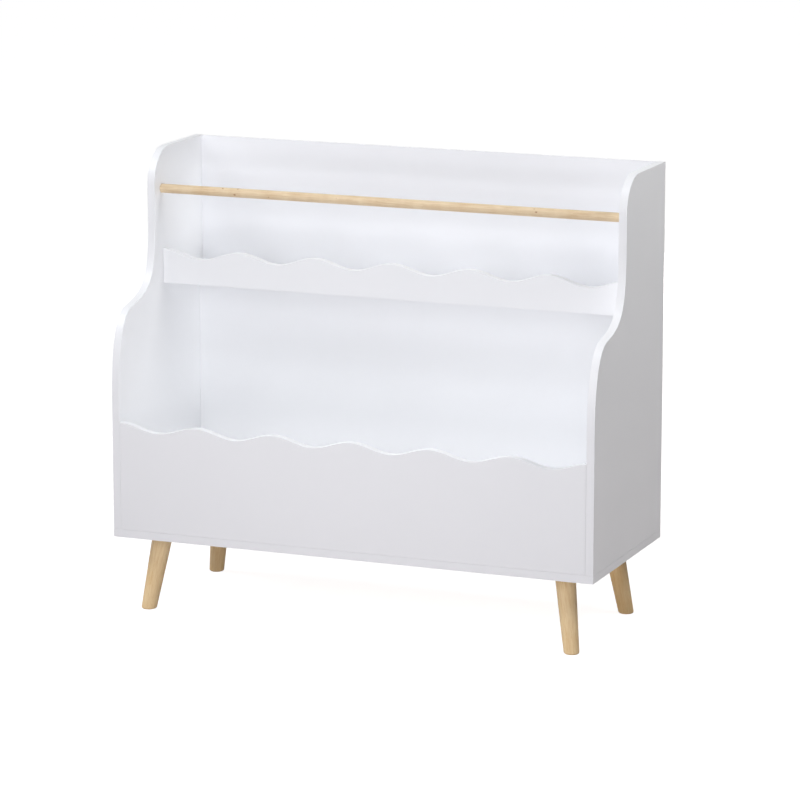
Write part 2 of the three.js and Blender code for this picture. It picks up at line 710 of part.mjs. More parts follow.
function addLegs() {
  for (const leg of legs) {
    const set = new THREE.Group();
    set.position.copy(leg.top);
    frame.add(set);
    const none = at(0, 0, 0);
    piece(set, `${leg.name}_leg_plate`, plateSolid(leg), materials.steel, none);
    piece(set, `${leg.name}_leg`, legSolid(leg), materials.legWood, leg.seat);
    const bolt = piece(set, `${leg.name}_hanger_bolt`, hangerBolt(), materials.steel, leg.seat);
    bolt.quaternion.copy(leg.turn);
    plateScrewPlaces().forEach((p, i) => {
      const under = p.setZ(-2 * JOINT_GAP - PLATE_THICKNESS);
      piece(set, `${leg.name}_plate_screw_${i + 1}`, plateScrew(), materials.steel, under);
    });
  }
}

addBase();
addSides();
addBinBoards();
addBackSheet();
addShelf();
addLip();
addRail();
addLegs();
addConnectingScrews();
addCamLocks();
addCamBolts();
addDowels();

export default bookcase;
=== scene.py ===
"""A white toy storage bookcase: its boards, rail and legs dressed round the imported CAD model, in a
plain pale studio. Metres, in the model's own frame: z = 0 is the floor, the bookcase faces -Y."""

import json
import math
from typing import NamedTuple

import bmesh
import bpy
from bpy.props import FloatProperty, FloatVectorProperty, PointerProperty
from mathutils import Matrix, Vector
from mathutils.geometry import interpolate_bezier


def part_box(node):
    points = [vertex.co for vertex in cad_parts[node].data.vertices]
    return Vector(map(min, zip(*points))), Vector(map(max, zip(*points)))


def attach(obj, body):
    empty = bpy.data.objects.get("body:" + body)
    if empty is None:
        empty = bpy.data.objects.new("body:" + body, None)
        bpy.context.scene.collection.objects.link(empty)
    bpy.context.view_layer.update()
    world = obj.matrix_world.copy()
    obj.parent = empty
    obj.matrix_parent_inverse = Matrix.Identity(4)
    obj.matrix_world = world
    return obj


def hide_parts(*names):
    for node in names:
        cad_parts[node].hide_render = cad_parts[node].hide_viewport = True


bl_info = {
    "name": "Toy Storage Bookcase",
    "version": (1, 0, 0),
    "blender": (4, 5, 0),
    "location": "3D View > Sidebar > Bookcase",
    "description": "Models a white child's bookcase with a wavy toy bin and a wooden rail",
    "category": "Add Mesh",
}

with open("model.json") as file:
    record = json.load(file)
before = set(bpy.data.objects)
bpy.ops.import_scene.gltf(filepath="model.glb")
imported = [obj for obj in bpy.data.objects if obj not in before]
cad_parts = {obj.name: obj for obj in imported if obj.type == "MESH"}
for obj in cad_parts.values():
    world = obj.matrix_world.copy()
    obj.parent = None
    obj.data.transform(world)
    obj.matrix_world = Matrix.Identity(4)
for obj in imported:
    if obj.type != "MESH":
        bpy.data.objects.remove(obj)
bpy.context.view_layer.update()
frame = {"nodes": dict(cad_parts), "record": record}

BASE_LOW, BASE_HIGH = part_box("base_panel")
FRONT_LOW, FRONT_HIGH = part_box("lower_front_panel")
LIP_LOW, LIP_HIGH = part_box("shelf_lip")
RAIL_LOW, RAIL_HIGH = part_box("book_rail")
RAIL_MIDDLE = (RAIL_LOW + RAIL_HIGH) / 2
RAIL_RADIUS = (RAIL_HIGH.z - RAIL_LOW.z) / 2
SHEET_LOW, SHEET_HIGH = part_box("back_panel")
BIN_BACK_LOW, BIN_BACK_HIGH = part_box("lower_back_board")

SIDES = {"left": -1, "right": 1}
ENDS = {"front": -1, "rear": 1}

# The rail's knots in its own wood, whose z runs along it: the place, the size and how dark
RAIL_KNOTS = (
    ((0.0029, -0.0085, -0.322), 0.0024, 0.8),
    ((-0.0076, -0.0048, -0.349), 0.0018, 0.8),
    ((-0.0083, -0.0035, -0.317), 0.0017, 0.8),
    ((0.0030, -0.0085, -0.249), 0.0013, 0.6),
    ((-0.0035, -0.0083, -0.105), 0.0011, 0.4),
    ((-0.0014, -0.0089, 0.309), 0.0022, 0.8),
    ((-0.0067, -0.0060, 0.304), 0.0013, 0.6),
)

# How finely curves are cut
CURVE_STEPS = 40
CORNER_STEPS = 24
EDGE_STEPS = 4
FOOT_STEPS = 8
WAVE_STEPS = 36
ROUND_STEPS = 96
BORE_STEPS = 32
SHARP_EDGE = math.radians(40)
TURNED_CORNER = math.radians(30)
OVERCUT = 0.001  # how far a cutter passes the face that it opens
MERGE_DISTANCE = 0.000001

# Where each leg's wood lies in its plank, as steps across, through and along the grain
PLANK_ACROSS = 0.07
PLANK_THROUGH = 0.05
PLANK_SIDE_STEP = 0.4
PLANK_END_STEP = 0.9

# How deep each finish's relief is
LACQUER_RELIEF = 0.000012
WOOD_RELIEF = 0.00004
ZINC_RELIEF = 0.000015
WOOD_SPECULAR = 0.12

# What part of a noise's 0 to 1 counts: nearly all of it, its middle, and the peaks that are pores
NOISE_SPAN = (0.3, 0.7)
FIBRE_SPAN = (0.38, 0.62)
PORE_SPAN = (0.60, 0.72)

# The patterns' fineness, in cells or rings per metre
LACQUER_CLOUDS = 5.0
SHEEN_PATCHES = 14.0
LACQUER_WAVES = 45.0
RINGS = 420.0
RING_WANDER = 26.0
WOOD_BANDS = 22.0
STREAKS = 360.0
FIBRES = 900.0
PORES = 1400.0
KNOT_EDGE = 1500.0
SPANGLE = 260.0
DRAWN_LINES = 1800.0

# The turned wood: how far the wander shifts the rings, in rings, how late each ring darkens, how
# dark the wood is without its patterns, how much rougher its dark parts are, and how deep its pores
RING_SHIFT = 5.0
RING_FADE = 2.5
PLAIN_WOOD = 0.25
DARK_ROUGHER = 0.12
PORE_DEPTH = 0.8

# A knot: how far its core, its rim and its ragged edge reach, as shares of its size, and how much
# of its length along the grain counts
KNOT_CORE = 0.5
KNOT_RIM = 1.3
KNOT_RAGGED = 0.6
KNOT_ALONG = 0.65

# The lacquer's slow waves against its ripple, the zinc's darkest tone, and its lines' roughness
LACQUER_WAVE_HEIGHT = 2.0
ZINC_DARKEST = 0.86
LINE_ROUGHNESS = 0.2

# Lamp colours, the last for light that has come off wood, and ways to face
WHITE = (1.0, 1.0, 1.0)
COOL = (1.0, 1.0, 1.03)
SKY = (0.985, 1.0, 1.025)
OFF_WOOD = (1.0, 0.74, 0.26)
TO_FRONT = (0.0, -1.0, 0.0)
TO_REAR = (0.0, 1.0, 0.0)
UP = (0.0, 0.0, 1.0)


class Softbox(NamedTuple):
    """A soft lamp: where it stands, its size, its watts, its colour and where it faces, which is
    the bookcase unless it says otherwise."""

    place: tuple
    width: float
    height: float
    watts: float
    colour: tuple = WHITE
    way: tuple = None


# The last five are cards of light inside the case and under it, where the real one is bright.
SOFTBOXES = {
    "near_front": Softbox((0.0, -1.9, 1.1), 1.0, 0.8, 11.2, COOL),
    "low_front": Softbox((0.6, -2.6, 0.3), 1.6, 0.5, 12.4, COOL),
    "top_front": Softbox((0.0, -1.2, 2.6), 1.6, 1.2, 14.2, SKY),
    "top": Softbox((0.0, 0.0, 3.2), 3.0, 3.0, 3.2),
    "left_top": Softbox((-1.3, -1.0, 2.0), 0.8, 0.8, 8.8, SKY),
    "left_high": Softbox((-3.2, -0.4, 2.6), 1.6, 1.6, 36.7, COOL),
    "right_top": Softbox((1.75, 0.2, 2.1), 0.9, 0.9, 19.6),
    "rear": Softbox((-0.2, 4.2, 0.4), 0.8, 0.5, 58.0),
    "bin_back": Softbox((-0.1041, 0.1757, 0.475), 0.758, 0.27, 0.15, WHITE, TO_FRONT),
    "bin_left": Softbox((-0.32, 0.02, 0.175), 0.32, 0.16, 0.13, WHITE, UP),
    "bin_middle": Softbox((0.15, -0.06, 0.175), 0.50, 0.20, 0.29, WHITE, UP),
    "shelf_back": Softbox((-0.05, 0.1920, 0.76), 0.866, 0.18, 0.09, WHITE, TO_FRONT),
    "under_case": Softbox((0.1, -0.05, 0.075), 0.80, 0.10, 0.105, OFF_WOOD, TO_REAR),
}
LOOK_AT = Vector((0.0, 0.0, 0.45))

FLOOR_HALF = 40.0
GLOW_START = 0.5  # how far from the middle the floor starts to turn plain white
SENSOR_WIDTH = 36.0  # millimetres, like the focal length
VIEW_DISTANCE = 200.0


def srgb(red, green, blue):
    """A colour given as 0 to 255 on screen, as the linear values that a shader takes."""
    shares = [value / 255 for value in (red, green, blue)]
    return tuple(s / 12.92 if s <= 0.04045 else ((s + 0.055) / 1.055) ** 2.4 for s in shares)


def length_property(name, default, description):
    return FloatProperty(
        name=name,
        default=default,
        description=description,
        min=0.0,
        subtype="DISTANCE",
        unit="LENGTH",
    )


def angle_property(name, degrees, description):
    return FloatProperty(
        name=name,
        default=math.radians(degrees),
        description=description,
        subtype="ANGLE",
        unit="ROTATION",
    )


def share_property(name, default, description):
    return FloatProperty(
        name=name, default=default, description=description, min=0.0, max=1.0, subtype="FACTOR"
    )


def colour_property(name, red, green, blue, description):
    return FloatVectorProperty(
        name=name,
        default=srgb(red, green, blue),
        description=description,
        size=3,
        min=0.0,
        max=1.0,
        subtype="COLOR",
    )


class BookcaseSizes(bpy.types.PropertyGroup):
    """Sizes of the boards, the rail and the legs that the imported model's boxes don't give"""

    edge_round: length_property("Edge rounding", 0.0005, "Radius along the edges of every board")
    shoulder_start: length_property(
        "Shoulder start", 0.285, "Where the sides' lower straight edge ends, over the underside"
    )
    waist_height: length_property(
        "Waist height", 0.453, "Where the edge turns from shoulder to cove, over the underside"
    )
    waist_setback: length_property(
        "Waist setback", 0.066, "How far the waist lies behind the front"
    )
    waist_slope: angle_property("Waist slope", 11, "The edge's slope where shoulder and cove meet")
    upper_edge_start: length_property(
        "Upper edge start", 0.605, "Where the upper straight edge begins, over the underside"
    )
    upper_setback: length_property(
        "Upper setback", 0.172, "How far the upper straight edge lies behind the front"
    )
    top_corner: length_property(
        "Top corner radius", 0.068, "Radius of the sides' upper front corner"
    )
    shoulder_rise_pull: share_property(
        "Shoulder rise pull", 0.655, "How far the shoulder keeps rising straight before it bends"
    )
    shoulder_run_pull: share_property(
        "Shoulder run pull", 0.6, "How far the shoulder holds the waist's slope, as a share"
    )
    cove_run_pull: share_property(
        "Cove run pull", 0.77, "How far the cove holds the waist's slope, as a share"
    )
    cove_rise_pull: share_property("Cove rise pull", 0.763, "How far the cove ends straight up")
    wave_period: length_property("Wave period", 0.163, "From crest to crest of the wavy edges")
    front_wave: length_property("Front wave", 0.0082, "Rise of the bin front's wave above its mean")
    lip_wave: length_property("Lip wave", 0.0089, "Rise of the lip's wave above its mean")
    fit: length_property("Fit", 0.0003, "Clearance round a pin, bolt or rail in its hole")
    end_play: length_property("Rail end play", 0.0005, "Room for the rail at each end")
    rail_edge: length_property("Rail edge", 0.0006, "Rounding at the rail's ends")
    leg_inset_x: length_property(
        "Leg inset across", 0.078, "A leg's axis at the base, from the case's side"
    )
    leg_inset_y: length_property(
        "Leg inset along", 0.062, "A leg's axis at the base, from the case's front or rear"
    )
    leg_tilt: angle_property("Leg tilt", 12, "How far each leg leans out, along the diagonal")
    leg_top: length_property("Leg top diameter", 0.040, "The leg's diameter at its top")
    leg_foot: length_property("Leg foot diameter", 0.030, "The leg's diameter at the floor")
    leg_top_edge: length_property("Leg top edge", 0.0015, "Chamfer round the leg's top")
    foot_round: length_property("Foot rounding", 0.004, "Radius round the foot")
    joint_gap: length_property("Joint gap", 0.0002, "Between pieces that meet")
    plate_thickness: length_property("Plate thickness", 0.002, "The leg plate's sheet")
    seat_gap: length_property("Seat gap", 0.0003, "Between a leg's top and its plate's boss")
    hanger_bolt: length_property("Hanger bolt", 0.008, "Diameter of the bolt in each leg")
    hanger_depth: length_property("Hanger bolt depth", 0.030, "How deep the bolt goes into its leg")
    cam_bolt: length_property("Cam bolt", 0.006, "Diameter of the cam locks' bolts")
    dowel: length_property("Dowel", 0.008, "Diameter of the wooden dowels")
    base_screw: length_property("Base screw", 0.0064, "Diameter of the screws up through the base")


class BookcaseFinishes(bpy.types.PropertyGroup):
    """Colours and surface of the finishes"""

    lacquer: colour_property("Lacquer", 244, 245, 247, "The boards' white lacquer")
    lacquer_roughness: share_property("Lacquer roughness", 0.36, "Sheen of the white lacquer")
    back_sheet: colour_property("Back sheet", 244, 245, 248, "The thin back's white face")
    leg_light: colour_property("Leg wood, light", 254, 228, 183, "The legs' earlywood")
    leg_dark: colour_property("Leg wood, dark", 235, 198, 141, "The legs' latewood and rays")
    rail_light: colour_property("Rail wood, light", 239, 219, 186, "The rail's earlywood")
    rail_dark: colour_property("Rail wood, dark", 208, 176, 136, "The rail's latewood")
    knot: colour_property("Knots", 158, 96, 56, "The rail's small knots")
    dowel_wood: colour_property("Dowel wood", 217, 189, 147, "Raw beech of the dowels")
    steel: colour_property("Zinc", 186, 190, 196, "Zinc plating of the metal fittings")


class StudioSettings(bpy.types.PropertyGroup):
    """The camera, the lamps and the floor"""

    camera_place: FloatVectorProperty(
        name="Camera place",
        default=(2.849, -6.959, 2.0225),
        description="Where the camera stands",
        size=3,
        subtype="TRANSLATION",
        unit="LENGTH",
    )
    camera_turn: angle_property("Camera turn", 22.07, "How far the camera turns left of +Y")
    camera_dip: angle_property("Camera dip", 11.99, "How far the camera looks down")
    focal_length: FloatProperty(
        name="Focal length",
        default=176.8,
        description="In millimetres, on a 36 mm sensor",
        unit="CAMERA",
    )
    lamp_share: FloatProperty(
        name="Lamps", default=1.0, min=0.0, description="Brightness of all the lamps together"
    )
    ambient: FloatProperty(name="Ambient", default=0.0, min=0.0, description="Light from all round")
    floor: colour_property("Floor", 187, 180, 181, "The floor as the bookcase sees it")
    floor_glow: share_property(
        "Floor glow", 0.88, "White that only the camera and mirrors see, near the bookcase"
    )
    clear_floor: length_property("Clear floor", 1.6, "How far off the floor is plain white")


# Shader nodes


def new_group(name, inputs, outputs):
    """A shader node group with named sockets, and its two end nodes."""
    group = bpy.data.node_groups.new(name, "ShaderNodeTree")
    for label, kind, default in inputs:
        socket = group.interface.new_socket(label, in_out="INPUT", socket_type=kind)
        if default is not None:
            socket.default_value = default
    for label, kind in outputs:
        group.interface.new_socket(label, in_out="OUTPUT", socket_type=kind)
    return group, group.nodes.new("NodeGroupInput"), group.nodes.new("NodeGroupOutput")


def join(tree, source, target):
    tree.links.new(target, source)


def noise(tree, vector, scale, detail=2.0, roughness=0.5):
    node = tree.nodes.new("ShaderNodeTexNoise")
    node.inputs["Detail"].default_value = detail
    node.inputs["Roughness"].default_value = roughness
    join(tree, vector, node.inputs["Vector"])
    if isinstance(scale, (int, float)):
        node.inputs["Scale"].default_value = scale
    else:
        join(tree, scale, node.inputs["Scale"])
    return node.outputs["Fac"]


def math_node(tree, operation, *values, clamp=False):
    node = tree.nodes.new("ShaderNodeMath")
    node.operation = operation
    node.use_clamp = clamp
    for socket, value in zip(node.inputs, values):
        if isinstance(value, (int, float)):
            socket.default_value = value
        else:
            join(tree, value, socket)
    return node.outputs["Value"]


def add(tree, first, second, clamp=False):
    return math_node(tree, "ADD", first, second, clamp=clamp)


def multiply(tree, first, second, clamp=False):
    return math_node(tree, "MULTIPLY", first, second, clamp=clamp)


def length_of(tree, vector):
    node = tree.nodes.new("ShaderNodeVectorMath")
    node.operation = "LENGTH"
    join(tree, vector, node.inputs[0])
    return node.outputs["Value"]


def remap(tree, value, span, low, high):
    """A value's span, spread over low to high."""
    node = tree.nodes.new("ShaderNodeMapRange")
    ends = {
        "Value": value,
        "From Min": span[0],
        "From Max": span[1],
        "To Min": low,
        "To Max": high,
    }
    for label, end in ends.items():
        if isinstance(end, (int, float)):
            node.inputs[label].default_value = end
        else:
            join(tree, end, node.inputs[label])
    return node.outputs["Result"]


def mix_colour(tree, factor, first, second, blend="MIX"):
    node = tree.nodes.new("ShaderNodeMix")
    node.data_type = "RGBA"
    node.blend_type = blend
    sockets = {s.identifier: s for s in node.inputs}
    for identifier, value in (
        ("Factor_Float", factor),
        ("A_Color", first),
        ("B_Color", second),
    ):
        if isinstance(value, bpy.types.NodeSocket):
            join(tree, value, sockets[identifier])
        else:
            sockets[identifier].default_value = value
    return next(s for s in node.outputs if s.identifier == "Result_Color")


def darken(tree, colour, share):
    """A colour times a share that is the same for its three channels."""
    grey = tree.nodes.new("ShaderNodeCombineColor")
    for channel in ("Red", "Green", "Blue"):
        join(tree, share, grey.inputs[channel])
    return mix_colour(tree, 1.0, colour, grey.outputs["Color"], "MULTIPLY")


def stretch(tree, vector, scale, offset=(0.0, 0.0, 0.0)):
    node = tree.nodes.new("ShaderNodeMapping")
    join(tree, vector, node.inputs["Vector"])
    node.inputs["Scale"].default_value = scale
    node.inputs["Location"].default_value = offset
    return node.outputs["Vector"]


FINISH_OUTPUTS = [
    ("Colour", "NodeSocketColor"),
    ("Roughness", "NodeSocketFloat"),
    ("Height", "NodeSocketFloat"),
]


def lacquer_group():
    """Sprayed satin lacquer: a faint ripple, slight clouds of tone and uneven sheen."""
    group, start, end = new_group(
        "sprayed lacquer",
        [
            ("Vector", "NodeSocketVector", None),
            ("Colour", "NodeSocketColor", (0.9, 0.9, 0.9, 1.0)),
            ("Cloud", "NodeSocketFloat", 0.02),
            ("Roughness", "NodeSocketFloat", 0.36),
            ("Sheen spread", "NodeSocketFloat", 0.08),
            ("Ripple scale", "NodeSocketFloat", 420.0),
        ],
        FINISH_OUTPUTS,
    )
    vector = start.outputs["Vector"]
    cloud = noise(group, vector, LACQUER_CLOUDS, detail=3.0)
    darker = multiply(group, cloud, start.outputs["Cloud"])
    share = math_node(group, "SUBTRACT", 1.0, darker)
    join(group, darken(group, start.outputs["Colour"], share), end.inputs["Colour"])
    elsewhere = stretch(group, vector, (1.0, 1.0, 1.0), (3.1, 1.7, 0.4))
    patches = noise(group, elsewhere, SHEEN_PATCHES, detail=4.0)
    half = multiply(group, start.outputs["Sheen spread"], 0.5)
    low = math_node(group, "SUBTRACT", start.outputs["Roughness"], half)
    high = add(group, start.outputs["Roughness"], half)
    join(group, remap(group, patches, NOISE_SPAN, low, high), end.inputs["Roughness"])
    ripple = noise(group, vector, start.outputs["Ripple scale"], detail=1.0)
    waves = noise(group, vector, LACQUER_WAVES, detail=1.0)
    height = add(group, ripple, multiply(group, waves, LACQUER_WAVE_HEIGHT))
    join(group, height, end.inputs["Height"])
    return group


def wood_group():
    """Turned wood with its grain along the vector's z: growth rings that the turning cuts across,
    fine fibres, short pores and slow bands of tone along the length."""
    group, start, end = new_group(
        "turned wood",
        [
            ("Vector", "NodeSocketVector", None),
            ("Light", "NodeSocketColor", (0.8, 0.65, 0.45, 1.0)),
            ("Dark", "NodeSocketColor", (0.6, 0.45, 0.3, 1.0)),
            ("Ring strength", "NodeSocketFloat", 0.5),
            ("Fibre strength", "NodeSocketFloat", 0.5),
            ("Pore strength", "NodeSocketFloat", 0.4),
            ("Band strength", "NodeSocketFloat", 0.3),
            ("Roughness", "NodeSocketFloat", 0.5),
        ],
        FINISH_OUTPUTS,
    )
    vector = start.outputs["Vector"]
    # The trunk's middle lies off to one side, so the rings cross the piece as slow arcs.
    trunk = stretch(group, vector, (1.0, 1.0, 0.06), (0.021, 0.034, 0.0))
    wander = noise(group, stretch(group, vector, (1.0, 1.0, 0.12)), RING_WANDER, detail=3.0)
    across = group.nodes.new("ShaderNodeVectorMath")
    across.operation = "MULTIPLY"
    join(group, trunk, across.inputs[0])
    across.inputs[1].default_value = (1.0, 1.0, 0.0)
    reach = length_of(group, across.outputs["Vector"])
    ring_place = add(group, multiply(group, reach, RINGS), multiply(group, wander, RING_SHIFT))
    ring = math_node(group, "POWER", math_node(group, "FRACT", ring_place), RING_FADE)

    along = stretch(group, vector, (1.0, 1.0, 0.03))
    fine = noise(group, along, FIBRES, detail=3.0, roughness=0.6)
    along = stretch(group, vector, (1.0, 1.0, 0.06))
    streak = noise(group, along, STREAKS, detail=2.0, roughness=0.6)
    fibre = multiply(group, add(group, fine, streak), 0.5)
    band = noise(group, stretch(group, vector, (0.25, 0.25, 1.0)), WOOD_BANDS, detail=2.0)
    along = stretch(group, vector, (1.0, 1.0, 0.09), (1.3, 0.2, 0.6))
    pore = remap(group, noise(group, along, PORES, detail=1.0), PORE_SPAN, 0.0, 1.0)

    patterns = {
        "Ring strength": ring,
        "Fibre strength": remap(group, fibre, FIBRE_SPAN, -0.5, 0.5),
        "Band strength": remap(group, band, NOISE_SPAN, -0.5, 0.5),
        "Pore strength": pore,
    }
    shares = [multiply(group, value, start.outputs[label]) for label, value in patterns.items()]
    total = add(group, add(group, *shares[:2]), add(group, *shares[2:]))
    share = add(group, total, PLAIN_WOOD, clamp=True)
    wood = mix_colour(group, share, start.outputs["Light"], start.outputs["Dark"])
    join(group, wood, end.inputs["Colour"])
    rough = add(group, start.outputs["Roughness"], multiply(group, total, DARK_ROUGHER))
    join(group, rough, end.inputs["Roughness"])
    height = math_node(group, "SUBTRACT", fibre, multiply(group, pore, PORE_DEPTH))
    join(group, height, end.inputs["Height"])
    return group


def knot_group():
    """One small knot: a dark, uneven spot with a soft brown rim, longest along the grain."""
    group, start, end = new_group(
        "knot",
        [
            ("Vector", "NodeSocketVector", None),
            ("Wood", "NodeSocketColor", (0.8, 0.65, 0.45, 1.0)),
            ("Knot", "NodeSocketColor", (0.25, 0.12, 0.05, 1.0)),
            ("Place", "NodeSocketVector", (0.0, 0.0, 0.0)),
            ("Size", "NodeSocketFloat", 0.002),
            ("Strength", "NodeSocketFloat", 0.8),
        ],
        [("Colour", "NodeSocketColor")],
    )
    offset = group.nodes.new("ShaderNodeVectorMath")
    offset.operation = "SUBTRACT"
    join(group, start.outputs["Vector"], offset.inputs[0])
    join(group, start.outputs["Place"], offset.inputs[1])
    reach = length_of(group, stretch(group, offset.outputs["Vector"], (1.0, 1.0, KNOT_ALONG)))
    size = start.outputs["Size"]
    ragged = noise(group, start.outputs["Vector"], KNOT_EDGE, detail=2.0)
    place = add(group, reach, multiply(group, ragged, multiply(group, size, KNOT_RAGGED)))
    rim = (multiply(group, size, KNOT_CORE), multiply(group, size, KNOT_RIM))
    spot = remap(group, place, rim, 1.0, 0.0)
    mask = multiply(group, spot, start.outputs["Strength"], clamp=True)
    colour = mix_colour(group, mask, start.outputs["Wood"], start.outputs["Knot"])
    join(group, colour, end.inputs["Colour"])
    return group


def zinc_group():
    """Zinc plate: drawn lines, small spangle and cloudy sheen."""
    group, start, end = new_group(
        "zinc plate",
        [
            ("Vector", "NodeSocketVector", None),
            ("Colour", "NodeSocketColor", (0.5, 0.52, 0.55, 1.0)),
            ("Roughness", "NodeSocketFloat", 0.33),
        ],
        FINISH_OUTPUTS,
    )
    vector = start.outputs["Vector"]
    spangle = noise(group, vector, SPANGLE, detail=3.0)
    lines = noise(group, stretch(group, vector, (0.05, 1.0, 1.0)), DRAWN_LINES, detail=2.0)
    share = remap(group, spangle, NOISE_SPAN, ZINC_DARKEST, 1.0)
    join(group, darken(group, start.outputs["Colour"], share), end.inputs["Colour"])
    rough = add(group, start.outputs["Roughness"], multiply(group, lines, LINE_ROUGHNESS))
    join(group, rough, end.inputs["Roughness"])
    join(group, add(group, lines, spangle), end.inputs["Height"])
    return group


def finish_material(name, group, vector_source, values, bump, **constants):
    """A Principled material whose colour, roughness and bump come from a group. Constants go on the
    shader's own sockets."""
    material = bpy.data.materials.new(name)
    material.use_nodes = True
    tree = material.node_tree
    shader = tree.nodes["Principled BSDF"]
    placed = tree.nodes.new("ShaderNodeGroup")
    placed.node_tree = group
    if vector_source == "object":
        coordinates = tree.nodes.new("ShaderNodeTexCoord")
        join(tree, coordinates.outputs["Object"], placed.inputs["Vector"])
    else:
        attribute = tree.nodes.new("ShaderNodeAttribute")
        attribute.attribute_name = vector_source
        join(tree, attribute.outputs["Vector"], placed.inputs["Vector"])
    for label, value in values.items():
        placed.inputs[label].default_value = value
    join(tree, placed.outputs["Colour"], shader.inputs["Base Color"])
    join(tree, placed.outputs["Roughness"], shader.inputs["Roughness"])
    relief = tree.nodes.new("ShaderNodeBump")
    relief.inputs["Strength"].default_value = 1.0
    relief.inputs["Distance"].default_value = bump
    join(tree, placed.outputs["Height"], relief.inputs["Height"])
    join(tree, relief.outputs["Normal"], shader.inputs["Normal"])
    for label, value in constants.items():
        shader.inputs[label.replace("_", " ")].default_value = value
    return material


def opaque(colour):
    return (*colour, 1.0)


def group_named(name, make):
    return bpy.data.node_groups.get(name) or make()


def lacquer_material(name, colour, cloud=0.02):
    finishes = bpy.context.scene.bookcase_finishes
    found = bpy.data.materials.get(name)
    if found:
        return found
    values = {"Colour": opaque(colour), "Cloud": cloud, "Roughness": finishes.lacquer_roughness}
    group = group_named("sprayed lacquer", lacquer_group)
    return finish_material(name, group, "object", values, LACQUER_RELIEF)


def white_lacquer():
    return lacquer_material("white lacquer", bpy.context.scene.bookcase_finishes.lacquer)


def wood_material(name, source, light, dark, **strengths):
    found = bpy.data.materials.get(name)
    if found:
        return found
    values = {"Light": opaque(light), "Dark": opaque(dark)}
    values.update({label.replace("_", " "): value for label, value in strengths.items()})
    group = group_named("turned wood", wood_group)
    constants = {"Specular_IOR_Level": WOOD_SPECULAR}
    return finish_material(name, group, source, values, WOOD_RELIEF, **constants)


def add_knots(material, knots, colour):
    """Lays knots over a wood's colour, each at its place in the piece's own wood."""
    tree = material.node_tree
    shader = tree.nodes["Principled BSDF"]
    attribute = next(node for node in tree.nodes if node.type == "ATTRIBUTE")
    wood = shader.inputs["Base Color"].links[0].from_socket
    for place, size, strength in knots:
        knot = tree.nodes.new("ShaderNodeGroup")
        knot.node_tree = group_named("knot", knot_group)
        join(tree, attribute.outputs["Vector"], knot.inputs["Vector"])
        join(tree, wood, knot.inputs["Wood"])
        knot.inputs["Knot"].default_value = opaque(colour)
        knot.inputs["Place"].default_value = place
        knot.inputs["Size"].default_value = size
        knot.inputs["Strength"].default_value = strength
        wood = knot.outputs["Colour"]
    join(tree, wood, shader.inputs["Base Color"])


def zinc_plate():
    found = bpy.data.materials.get("zinc plate")
    if found:
        return found
    values = {"Colour": opaque(bpy.context.scene.bookcase_finishes.steel)}
    group = group_named("zinc plate", zinc_group)
    return finish_material("zinc plate", group, "object", values, ZINC_RELIEF, Metallic=1.0)


# Meshes


def edges_sharper_than(bm, angle):
    return [edge for edge in bm.edges if edge.is_manifold and edge.calc_face_angle() > angle]


def round_edges(bm, edges, radius, steps=EDGE_STEPS):
    bmesh.ops.bevel(
        bm,
        geom=edges,
        offset=radius,
        offset_type="OFFSET",
        segments=steps,
        profile=0.5,
        affect="EDGES",
        clamp_overlap=True,
        material=-1,
    )


def add_piece(name, bm, material, body, node):
    """A mesh as a piece that stands for a CAD node and rides on its body."""
    bmesh.ops.recalc_face_normals(bm, faces=bm.faces)
    mesh = bpy.data.meshes.new(name)
    bm.to_mesh(mesh)
    bm.free()
    mesh.materials.append(material)
    piece = bpy.data.objects.new(name, mesh)
    bpy.context.scene.collection.objects.link(piece)
    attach(piece, body)
    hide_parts(node)
    return piece


def dress(node, material):
    """Gives a CAD node its finish, and leaves its mesh alone."""
    materials = frame["nodes"][node].data.materials
    materials.clear()
    materials.append(material)


def carve(piece, cutters):
    """Cuts closed shapes out of a piece for good."""
    mesh = bpy.data.meshes.new("cutters")
    cutters.to_mesh(mesh)
    cutters.free()
    tool = bpy.data.objects.new("cutters", mesh)
    bpy.context.scene.collection.objects.link(tool)
    cut = piece.modifiers.new("cut", "BOOLEAN")
    cut.operation = "DIFFERENCE"
    cut.solver = "EXACT"
    cut.object = tool
    depsgraph = bpy.context.evaluated_depsgraph_get()
    carved = bpy.data.meshes.new_from_object(piece.evaluated_get(depsgraph))
    piece.modifiers.clear()
    uncut = piece.data
    piece.data = carved
    carved.name = uncut.name
    bpy.data.meshes.remove(uncut)
    bpy.data.objects.remove(tool)
    bpy.data.meshes.remove(mesh)


def shade(piece):
    """Smooth shading that keeps flat faces flat and corners crisp."""
    bm = bmesh.new()
    bm.from_mesh(piece.data)
    for face in bm.faces:
        face.smooth = True
    for edge in bm.edges:
        edge.smooth = not (edge.is_manifold and edge.calc_face_angle() > SHARP_EDGE)
    bm.to_mesh(piece.data)
    bm.free()
    weights = piece.modifiers.new("flat faces stay flat", "WEIGHTED_NORMAL")
    weights.keep_sharp = True


def add_rod(bm, radius, length, place, steps=ROUND_STEPS):
    """A closed cylinder along its place's z, with its middle there."""
    bmesh.ops.create_cone(
        bm,
        cap_ends=True,
        segments=steps,
        radius1=radius,
        radius2=radius,
        depth=length,
        matrix=place,
    )


def add_bore(bm, node, diameter, fit):
    """A round hole for a fastener, along the longest side of its node's box."""
    low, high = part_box(node)
    size = high - low
    axis = max(range(3), key=lambda i: size[i])
    way = Vector([1.0 if i == axis else 0.0 for i in range(3)])
    turn = Vector(UP).rotation_difference(way).to_matrix().to_4x4()
    place = Matrix.Translation((low + high) / 2) @ turn
    add_rod(bm, diameter / 2 + fit, size[axis] + 2 * fit, place, BORE_STEPS)


